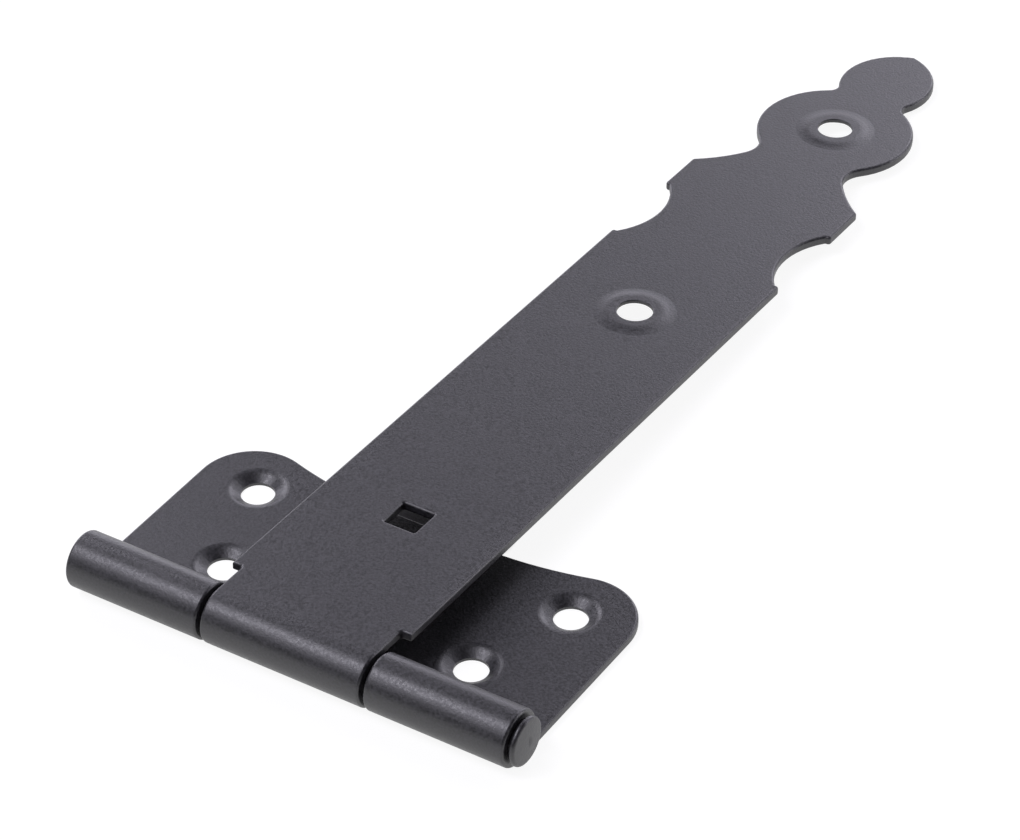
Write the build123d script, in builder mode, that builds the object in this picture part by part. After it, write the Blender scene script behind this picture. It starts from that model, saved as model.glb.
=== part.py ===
from build123d import *
import os
from math import asin, atan2, cos, degrees, hypot, sin, sqrt

os.makedirs("parts", exist_ok=True)

# A T hinge, lying folded: the strap is closed over the cross plate and its tip rests on the ground.
# Frame: X runs along the barrel toward the pin's head, Y from the barrel toward the strap's tip, Z up.
# The origin is on the back face of the cross plate, midway between the two screw holes near the barrel.

# Sheet, barrel and pin
sheet = 2.0
edge_round = 0.55
pin_diameter = 7.5
barrel_length = 97.5
knuckle_gap = 0.9
running_clearance = 0.05
seam_gap = 0.3

# Head of the pin, standing off the barrel's end
head_diameter = 9.8
head_thickness = 1.3
head_stand_off = 0.7
head_dome = 0.3
head_face_round = 0.6
head_back_round = 0.3
pin_end_chamfer = 0.6

# Strap outline. Its reach and its shoulder are measured from the pin's axis, along the strap.
strap_width = 40.0
strap_reach = 243.0
shoulder_place = 8.5
shoulder_step = 2.25
shoulder_round = 0.8

# Ornamental end of the strap, measured back from its tip: lobe, disc, flanks, tab and scallops
lobe_width = 20.1
lobe_radius = 13.9
throat_round = 2.4
disc_to_tip = 37.0
disc_radius = 17.0
neck_round = 5.8
flank_radius = 34.0
tab_to_disc = 27.1
scallop_to_tab = 11.7
scallop_length = 21.6
scallop_depth = 4.8
scallop_step = 1.0
scallop_step_round = 0.4
corner_round = 0.7

# Square hole for a carriage bolt
bolt_square = 7.0
bolt_corner = 0.4
bolt_place = 38.0

# Screw holes of the strap. Their mouths are pressed from the front, so the back swells up round them.
strap_screw_hole = 7.5
strap_screw_mouth = 12.4
strap_mouth_angle = 114.0
strap_rim_round = 0.2
strap_screw_pitch = 84.8
swell_diameter = 17.2
swell_top_diameter = 10.4
swell_rise = 0.35

# Cross plate outline: places are distances across and along from the middle of the pin's axis
plate_corner_place = 38.3
plate_corner_radius = 11.6
plate_corner_turn = 106.0
plate_valley_radius = 84.0
notch_depth = 7.5
notch_round = 1.0

# Screw holes of the cross plate, countersunk from its front, with soft rims
plate_screw_hole = 6.8
plate_screw_head = 11.2
plate_countersink_angle = 114.0
plate_rim_round = 2.5
near_screws = (27.9, 16.3)
far_screws = (35.8, 38.5)

# Sizes that follow from the driving ones
pin_radius = pin_diameter / 2
barrel_radius = pin_radius + sheet
roll_radius = pin_radius + sheet / 2
half_barrel = barrel_length / 2
half_strap = strap_width / 2
half_strap_knuckle = half_strap - shoulder_step
notch_half_width = half_strap_knuckle + knuckle_gap
plate_knuckle_length = half_barrel - notch_half_width
plate_knuckle_centre = notch_half_width + plate_knuckle_length / 2
head_face_place = half_barrel + head_stand_off + head_thickness
roll_turn = 270 + degrees(asin((pin_radius - seam_gap) / barrel_radius))

# Places along the strap, from the pin's axis
lobe_centre = strap_reach - sqrt(lobe_radius**2 - (lobe_radius - lobe_width / 2) ** 2)
disc_place = strap_reach - disc_to_tip
tab_end = disc_place - tab_to_disc
flank_centre = half_strap + sqrt(flank_radius**2 - tab_to_disc**2)
scallop_end = tab_end - scallop_to_tab
scallop_start = scallop_end - scallop_length
strap_screw_place = disc_place - strap_screw_pitch
swell_middle_radius = (swell_diameter + swell_top_diameter) / 4

# The strap droops until the lower edge of its tip is on the ground.
droop = asin(barrel_radius / hypot(strap_reach, pin_radius)) + atan2(pin_radius, strap_reach)
along_strap = Vector(0, cos(droop), -sin(droop))
off_strap = Vector(0, sin(droop), cos(droop))

# Planes of the two leaves, each with its Y = 0 at the pin's axis
pin_centre = Vector(0, -near_screws[1], barrel_radius)
pin_axis = Axis(pin_centre, (1, 0, 0))
plate_plane = Plane(origin=(0, -near_screws[1], 0), z_dir=(0, 0, 1))
strap_plane = Plane(origin=pin_centre, x_dir=(1, 0, 0), z_dir=off_strap)


def soften_edges(leaf, leaf_plane):
    """Round the edges of a flat blank on both faces, all but the straight edge at its root."""
    rims = ShapeList(
        edge
        for face in leaf.faces().filter_by(leaf_plane)
        for edge in face.edges()
        if leaf_plane.to_local_coords(edge.center()).Y > edge_round
    )
    fillet(rims, radius=edge_round)


def roll_knuckle(root, place, length, turning_axis):
    """Turn the cross-section that a blank has at its root round the pin."""
    with BuildSketch(root) as cross_section:
        with Locations(place):
            RectangleRounded(length, sheet, edge_round)
    revolve(cross_section.sketch, axis=turning_axis, revolution_arc=roll_turn)


# Strap leaf: one sheet, blanked to its outline, rolled at its root and pressed at its screw holes
strap_root = Plane(origin=pin_centre, x_dir=(1, 0, 0), z_dir=-along_strap)
strap_front = Plane(
    origin=strap_plane.from_local_coords((0, 0, pin_radius)), x_dir=(1, 0, 0), z_dir=-off_strap
)

with BuildPart() as strap_leaf:
    with BuildSketch(strap_plane.offset(pin_radius)) as strap_blank:
        # Straight strap with a narrower root, hollowed into a neck below the disc
        with Locations((0, shoulder_place / 2)):
            Rectangle(2 * half_strap_knuckle, shoulder_place)
        with Locations((0, (shoulder_place + disc_place) / 2)):
            Rectangle(strap_width, disc_place - shoulder_place)
        with Locations((flank_centre, disc_place), (-flank_centre, disc_place)):
            Circle(flank_radius, mode=Mode.SUBTRACT)
        # Round disc, and a lobe that comes to a blunt point
        with Locations((0, disc_place)):
            Circle(disc_radius)
        with BuildLine():
            RadiusArc((0, 2 * lobe_centre - strap_reach), (0, strap_reach), lobe_radius)
            RadiusArc((0, strap_reach), (0, 2 * lobe_centre - strap_reach), lobe_radius)
        make_face()
        neck = strap_blank.vertices().filter_by_position(Axis.Y, tab_end + 1, disc_place - 1)
        fillet(neck, radius=neck_round)
        throat = strap_blank.vertices().filter_by_position(Axis.Y, disc_place + 1, lobe_centre)
        fillet(throat, radius=throat_round)
        shoulder = strap_blank.vertices().filter_by_position(Axis.Y, 1, shoulder_place + 1)
        fillet(shoulder.sort_by(Axis.X)[1:3], radius=shoulder_round)
        # Scallop in each side, with a small square step at either end of its arc
        with BuildLine():
            arc = ThreePointArc(
                (half_strap - scallop_step, scallop_start),
                (half_strap - scallop_depth, scallop_start + scallop_length / 2),
                (half_strap - scallop_step, scallop_end),
            )
            Polyline(arc @ 1, (half_strap, scallop_end), (half_strap, scallop_start), arc @ 0)
        scallop = make_face(mode=Mode.PRIVATE)
        add(scallop, mode=Mode.SUBTRACT)
        mirror(scallop, about=Plane.YZ, mode=Mode.SUBTRACT)
        hollows = strap_blank.vertices().filter_by_position(Axis.Y, scallop_start - 1, scallop_end + 1)
        fillet(hollows.group_by(lambda vertex: abs(vertex.X))[0], radius=scallop_step_round)
        corners = strap_blank.vertices().filter_by_position(Axis.Y, scallop_start - 1, tab_end + 1)
        fillet(corners.group_by(lambda vertex: abs(vertex.X))[-1], radius=corner_round)
        with Locations((0, bolt_place)):
            RectangleRounded(bolt_square, bolt_square, bolt_corner, mode=Mode.SUBTRACT)
    extrude(amount=sheet)
    soften_edges(strap_leaf, strap_plane)

    # Knuckle, rolled down and back under the leaf, then reamed to run on the pin
    roll_knuckle(strap_root, (0, roll_radius), 2 * half_strap_knuckle, pin_axis)
    with BuildSketch(Plane(origin=pin_centre, z_dir=(1, 0, 0))):
        Circle(pin_radius + running_clearance)
    extrude(amount=half_strap_knuckle, both=True, mode=Mode.SUBTRACT)

    # Swellings on the back, and the countersunk screw holes from the front
    for place in (strap_screw_place, disc_place):
        centre = strap_plane.from_local_coords((0, place, barrel_radius))
        with BuildSketch(Plane(origin=centre, x_dir=(1, 0, 0), z_dir=-along_strap)):
            with BuildLine():
                slope = Bezier(
                    (swell_diameter / 2, 0),
                    (swell_middle_radius, 0),
                    (swell_middle_radius, swell_rise),
                    (swell_top_diameter / 2, swell_rise),
                )
                Polyline(slope @ 1, (0, swell_rise), (0, -sheet / 2))
                Polyline((0, -sheet / 2), (swell_diameter / 2, -sheet / 2), slope @ 0)
            make_face()
        revolve(axis=Axis(centre, off_strap))
    with Locations(strap_front):
        with Locations((0, -strap_screw_place), (0, -disc_place)):
            CounterSinkHole(
                strap_screw_hole / 2, strap_screw_mouth / 2, counter_sink_angle=strap_mouth_angle
            )
    back_rims = strap_leaf.edges(Select.LAST).group_by(Axis(pin_centre, off_strap))[-1]
    fillet(back_rims, radius=strap_rim_round)

# Cross plate: one sheet, blanked to its outline, notched for the strap's knuckle,
# rolled up into a knuckle on each side of the notch and countersunk
plate_root = Plane(origin=pin_centre, x_dir=(1, 0, 0), z_dir=(0, -1, 0))

with BuildPart() as cross_plate:
    with BuildSketch(plate_plane) as plate_blank:
        with BuildLine():
            side = Line((half_barrel, 0), (half_barrel, plate_corner_place))
            corner = JernArc(side @ 1, side % 1, plate_corner_radius, plate_corner_turn)
            valley = JernArc(corner @ 1, corner % 1, plate_valley_radius, 90 - plate_corner_turn)
            Polyline(valley @ 1, (0, (valley @ 1).Y), (0, 0), side @ 0)
        half_blank = make_face()
        mirror(half_blank, about=Plane.YZ)
        with Locations((0, notch_depth / 2)):
            Rectangle(2 * notch_half_width, notch_depth, mode=Mode.SUBTRACT)
        notch_corners = plate_blank.vertices().filter_by_position(Axis.Y, notch_depth - 1, notch_depth + 1)
        fillet(notch_corners, radius=notch_round)
    extrude(amount=sheet)
    soften_edges(cross_plate, plate_plane)
    for place in (-plate_knuckle_centre, plate_knuckle_centre):
        roll_knuckle(plate_root, (place, -roll_radius), plate_knuckle_length, pin_axis.reverse())
    with Locations(plate_plane.offset(sheet)):
        with Locations(*[(side * x, y) for x, y in (near_screws, far_screws) for side in (-1, 1)]):
            CounterSinkHole(
                plate_screw_hole / 2, plate_screw_head / 2, counter_sink_angle=plate_countersink_angle
            )
    front_rims = cross_plate.edges(Select.LAST).group_by(Axis.Z)[-1]
    fillet(front_rims, radius=plate_rim_round)

# Pin, pressed through the plate's knuckles, flush at one end of the barrel and headed at the other
with BuildPart() as hinge_pin:
    with BuildSketch(plate_root) as pin_profile:
        with BuildLine():
            shank = Polyline(
                (-half_barrel, 0),
                (-half_barrel, pin_radius - pin_end_chamfer),
                (-half_barrel + pin_end_chamfer, pin_radius),
                (half_barrel + head_stand_off, pin_radius),
            )
            rim = Polyline(
                shank @ 1,
                (half_barrel + head_stand_off, head_diameter / 2),
                (head_face_place - head_dome, head_diameter / 2),
            )
            TangentArc((head_face_place, 0), rim @ 1, tangent=(0, 1), tangent_from_first=True)
            Line((head_face_place, 0), shank @ 0)
        make_face()
        fillet(pin_profile.vertices().group_by(Axis.Y)[-1].sort_by(Axis.X)[-1], radius=head_face_round)
        fillet(pin_profile.vertices().group_by(Axis.Y)[-1].sort_by(Axis.X)[0], radius=head_back_round)
    revolve(axis=pin_axis)

strap_leaf.part.label = "strap_leaf"
export_step(strap_leaf.part, "parts/strap_leaf.step")

cross_plate.part.label = "cross_plate"
export_step(cross_plate.part, "parts/cross_plate.step")

hinge_pin.part.label = "hinge_pin"
export_step(hinge_pin.part, "parts/hinge_pin.step")
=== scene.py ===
import math

import bpy
from mathutils import Matrix, Vector

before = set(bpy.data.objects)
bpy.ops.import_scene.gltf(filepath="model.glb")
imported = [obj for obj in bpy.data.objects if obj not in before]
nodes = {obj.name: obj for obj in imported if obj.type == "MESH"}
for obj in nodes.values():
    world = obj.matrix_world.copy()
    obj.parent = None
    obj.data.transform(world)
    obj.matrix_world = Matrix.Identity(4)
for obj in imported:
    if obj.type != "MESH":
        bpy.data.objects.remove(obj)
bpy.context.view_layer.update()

# Camera, fitted to the outlines in the photograph: focal length in pixels of a picture
# IMAGE_WIDTH wide, turn from the hinge's axes to the camera's in radians, place in metres
IMAGE_WIDTH = 1020
SENSOR_WIDTH = 36.0
FOCAL_PIXELS = 4115.97
CAMERA_TURN = (2.155441, 0.619102, -0.319974)
CAMERA_PLACE = (0.346044, -0.479309, 0.498184)
CLIP_START = 0.05
CLIP_END = 20.0

# Powder coat: colour, gloss, and grains per metre with their height in metres
BLACK = (0.022, 0.0215, 0.025)
COAT_SHINE = 0.9
COAT_ROUGHNESS = 0.42
GLOSS_SPREAD = 0.06
GRAIN_SCALE = 1900.0
GRAIN_DETAIL = 2.0
GRAIN_ROUGHNESS = 0.6
GRAIN_HEIGHT = 0.000045
# Between these values of the grain the coat goes from its darkest and glossiest to its palest
GRAIN_LOW = 0.35
GRAIN_HIGH = 0.65
DARK_TINT = 0.4
PALE_TINT = 1.6

# Floor: half its width in metres, its colour for the light that it throws back, and, where it
# is seen directly or in a reflection, its own white and the colour that takes the lamps' light
FLOOR_HALF_SIZE = 4.0
FLOOR_COLOUR = (0.85, 0.85, 0.85, 1.0)
FLOOR_ROUGHNESS = 0.9
FLOOR_GLOW = 0.9
FLOOR_GLOW_COLOUR = (1.0, 1.0, 1.0, 1.0)
FLOOR_LIT_COLOUR = (0.2, 0.2, 0.2, 1.0)

# Painted shade: a patch of floor behind the plate whose white is taken away while the strap
# covers it: middle, half sizes and the cover's reach in metres, then the openness at which its
# white starts and is whole, and the distances from the middle, in half sizes, between which the
# patch fades out
PAINTED_SHADE_PLACE = (-0.003, 0.034, 0.0)
PAINTED_SHADE_HALF_SIZE = (0.014, 0.008, 1.0)
PAINTED_SHADE_REACH = 0.04
PAINTED_SHADE_SAMPLES = 16
PAINTED_SHADE_COVERED = 0.3
PAINTED_SHADE_OPEN = 0.6
PAINTED_SHADE_INSIDE = 0.9
PAINTED_SHADE_OUTSIDE = 1.3

# Soft light: all softboxes are square, share one colour and face one point from one distance
LIGHT_COLOUR = (0.91, 0.885, 1.0)
WORLD_STRENGTH = 0.05
LAMP_TARGET = (0.0, 0.06, 0.0)
LAMP_DISTANCE = 1.2

# Softboxes: name, azimuth from +X toward +Y and elevation in degrees, side in metres, radiance
SOFTBOXES = (
    ("front_left_core", 223, 52, 0.25, 8.2),
    ("front_left_glint", 223, 47, 0.15, 8.7),
    ("front_left_high", 223, 60, 0.45, 3.8),
    ("front_high", 250, 60, 0.45, 2.9),
    ("front_left", 240, 35, 0.45, 1.9),
    ("back_left", 155, 35, 0.45, 5.7),
    ("back_right", 95, 35, 0.45, 2.8),
    ("right", 60, 35, 0.45, 2.4),
    ("back_middle", 102, 20, 0.45, 2.2),
    ("back_left_low", 160, 10, 0.45, 3.8),
    ("back_low", 126, 10, 0.45, 2.6),
    ("back_right_low", 90, 10, 0.45, 2.6),
    ("right_low", 45, 10, 0.45, 4.3),
)


def add_camera():
    """Camera at the photograph's viewing angle."""
    data = bpy.data.cameras.new("camera")
    camera = bpy.data.objects.new("camera", data)
    bpy.context.scene.collection.objects.link(camera)
    data.sensor_fit = "HORIZONTAL"
    data.sensor_width = SENSOR_WIDTH
    data.lens = FOCAL_PIXELS * SENSOR_WIDTH / IMAGE_WIDTH
    data.clip_start = CLIP_START
    data.clip_end = CLIP_END
    turn = Vector(CAMERA_TURN)
    to_camera = Matrix.Rotation(turn.length, 3, turn.normalized())
    look = to_camera.transposed() @ Matrix.Diagonal((1.0, -1.0, -1.0))
    camera.matrix_world = Matrix.Translation(Vector(CAMERA_PLACE)) @ look.to_4x4()
    bpy.context.scene.camera = camera


def new_material(name):
    """A new material, and its tree of nodes."""
    material = bpy.data.materials.new(name)
    material.use_nodes = True
    return material, material.node_tree


def ranged(tree, value, from_low, from_high, to_low, to_high):
    """A value carried from one range to another, and kept within it."""
    node = tree.nodes.new("ShaderNodeMapRange")
    node.inputs["From Min"].default_value = from_low
    node.inputs["From Max"].default_value = from_high
    node.inputs["To Min"].default_value = to_low
    node.inputs["To Max"].default_value = to_high
    tree.links.new(value, node.inputs["Value"])
    return node.outputs["Result"]


def powder_coat(name):
    """Fine black powder coat: tiny grains that break up both the colour and the gloss."""
    material, tree = new_material(name)
    shader = tree.nodes["Principled BSDF"]
    shader.inputs["Metallic"].default_value = 0.0
    shader.inputs["Specular IOR Level"].default_value = COAT_SHINE

    place = tree.nodes.new("ShaderNodeTexCoord")
    grain = tree.nodes.new("ShaderNodeTexNoise")
    grain.inputs["Scale"].default_value = GRAIN_SCALE
    grain.inputs["Detail"].default_value = GRAIN_DETAIL
    grain.inputs["Roughness"].default_value = GRAIN_ROUGHNESS
    tree.links.new(place.outputs["Object"], grain.inputs["Vector"])

    tint = tree.nodes.new("ShaderNodeValToRGB")
    dark, pale = tint.color_ramp.elements
    dark.position = GRAIN_LOW
    dark.color = (*[part * DARK_TINT for part in BLACK], 1.0)
    pale.position = GRAIN_HIGH
    pale.color = (*[part * PALE_TINT for part in BLACK], 1.0)
    tree.links.new(grain.outputs["Fac"], tint.inputs["Fac"])
    tree.links.new(tint.outputs["Color"], shader.inputs["Base Color"])

    glossy = COAT_ROUGHNESS - GLOSS_SPREAD
    dull = COAT_ROUGHNESS + GLOSS_SPREAD
    gloss = ranged(tree, grain.outputs["Fac"], GRAIN_LOW, GRAIN_HIGH, glossy, dull)
    tree.links.new(gloss, shader.inputs["Roughness"])

    bump = tree.nodes.new("ShaderNodeBump")
    bump.inputs["Strength"].default_value = 1.0
    bump.inputs["Distance"].default_value = GRAIN_HEIGHT
    tree.links.new(grain.outputs["Fac"], bump.inputs["Height"])
    tree.links.new(bump.outputs["Normal"], shader.inputs["Normal"])
    return material


def dress(node, material):
    """Give a CAD node one material all over."""
    mesh = nodes[node].data
    mesh.materials.clear()
    mesh.materials.append(material)


def add_painted_shade_distance(tree):
    """Distance from the middle of the patch of painted shade, in its half sizes."""
    place = tree.nodes.new("ShaderNodeTexCoord")
    from_middle = tree.nodes.new("ShaderNodeVectorMath")
    from_middle.operation = "SUBTRACT"
    from_middle.inputs[1].default_value = PAINTED_SHADE_PLACE
    tree.links.new(place.outputs["Object"], from_middle.inputs[0])
    in_half_sizes = tree.nodes.new("ShaderNodeVectorMath")
    in_half_sizes.operation = "DIVIDE"
    in_half_sizes.inputs[1].default_value = PAINTED_SHADE_HALF_SIZE
    tree.links.new(from_middle.outputs["Vector"], in_half_sizes.inputs[0])
    away = tree.nodes.new("ShaderNodeVectorMath")
    away.operation = "LENGTH"
    tree.links.new(in_half_sizes.outputs["Vector"], away.inputs[0])
    return away.outputs["Value"]


def add_floor_glow(tree):
    """The floor's own white, which in the patch behind the plate shows only while it is open;
    where the strap covers it, the patch is painted shade.
    """
    open_glow = tree.nodes.new("ShaderNodeEmission")
    open_glow.inputs["Color"].default_value = FLOOR_GLOW_COLOUR
    open_glow.inputs["Strength"].default_value = FLOOR_GLOW

    openness = tree.nodes.new("ShaderNodeAmbientOcclusion")
    openness.samples = PAINTED_SHADE_SAMPLES
    openness.inputs["Distance"].default_value = PAINTED_SHADE_REACH
    strength = ranged(
        tree, openness.outputs["AO"], PAINTED_SHADE_COVERED, PAINTED_SHADE_OPEN, 0.0, FLOOR_GLOW
    )
    # Painted shade: inside the patch, the floor's white fades as the strap covers it
    painted_shade_glow = tree.nodes.new("ShaderNodeEmission")
    painted_shade_glow.inputs["Color"].default_value = FLOOR_GLOW_COLOUR
    tree.links.new(strength, painted_shade_glow.inputs["Strength"])

    outside = ranged(tree, add_painted_shade_distance(tree), PAINTED_SHADE_INSIDE, PAINTED_SHADE_OUTSIDE, 0.0, 1.0)
    glow = tree.nodes.new("ShaderNodeMixShader")
    tree.links.new(outside, glow.inputs["Fac"])
    tree.links.new(painted_shade_glow.outputs["Emission"], glow.inputs[1])
    tree.links.new(open_glow.outputs["Emission"], glow.inputs[2])
    return glow.outputs["Shader"]


def floor_material():
    """White where the floor is seen directly or in a reflection, and plain pale otherwise."""
    material, tree = new_material("floor")
    plain = tree.nodes["Principled BSDF"]
    plain.inputs["Base Color"].default_value = FLOOR_COLOUR
    plain.inputs["Roughness"].default_value = FLOOR_ROUGHNESS

    lit = tree.nodes.new("ShaderNodeBsdfDiffuse")
    lit.inputs["Color"].default_value = FLOOR_LIT_COLOUR
    white = tree.nodes.new("ShaderNodeAddShader")
    tree.links.new(lit.outputs["BSDF"], white.inputs[0])
    tree.links.new(add_floor_glow(tree), white.inputs[1])

    path = tree.nodes.new("ShaderNodeLightPath")
    seen = tree.nodes.new("ShaderNodeMath")
    seen.operation = "MAXIMUM"
    tree.links.new(path.outputs["Is Camera Ray"], seen.inputs[0])
    tree.links.new(path.outputs["Is Glossy Ray"], seen.inputs[1])
    choose = tree.nodes.new("ShaderNodeMixShader")
    tree.links.new(seen.outputs["Value"], choose.inputs["Fac"])
    tree.links.new(plain.outputs["BSDF"], choose.inputs[1])
    tree.links.new(white.outputs["Shader"], choose.inputs[2])
    surface = tree.nodes["Material Output"].inputs["Surface"]
    tree.links.new(choose.outputs["Shader"], surface)
    return material


def add_floor():
    """Square floor at the height of the ground."""
    mesh = bpy.data.meshes.new("floor")
    half = FLOOR_HALF_SIZE
    corners = [(-half, -half, 0), (half, -half, 0), (half, half, 0), (-half, half, 0)]
    mesh.from_pydata(corners, [], [(0, 1, 2, 3)])
    floor = bpy.data.objects.new("floor", mesh)
    bpy.context.scene.collection.objects.link(floor)
    floor.data.materials.append(floor_material())


def add_world():
    """Faint even light from all round."""
    world = bpy.data.worlds.new("world")
    bpy.context.scene.world = world
    world.use_nodes = True
    background = world.node_tree.nodes["Background"]
    background.inputs["Color"].default_value = (*LIGHT_COLOUR, 1.0)
    background.inputs["Strength"].default_value = WORLD_STRENGTH


def add_softbox(name, azimuth, elevation, side, radiance):
    """Square area lamp that faces the hinge."""
    data = bpy.data.lights.new(name, "AREA")
    data.shape = "RECTANGLE"
    data.size = side
    data.size_y = side
    data.energy = radiance * side * side * math.pi
    data.color = LIGHT_COLOUR
    lamp = bpy.data.objects.new(name, data)
    bpy.context.scene.collection.objects.link(lamp)
    turn = math.radians(azimuth)
    rise = math.radians(elevation)
    reach = math.cos(rise)
    away = Vector((reach * math.cos(turn), reach * math.sin(turn), math.sin(rise)))
    lamp.location = Vector(LAMP_TARGET) + away * LAMP_DISTANCE
    lamp.rotation_mode = "QUATERNION"
    lamp.rotation_quaternion = away.to_track_quat("Z", "Y")


add_camera()

dress("strap_leaf", powder_coat("strap_powder_coat"))
dress("cross_plate", powder_coat("plate_powder_coat"))
dress("hinge_pin", powder_coat("pin_powder_coat"))

add_floor()
add_world()
for softbox in SOFTBOXES:
    add_softbox(*softbox)

bpy.context.scene.view_settings.view_transform = "Standard"
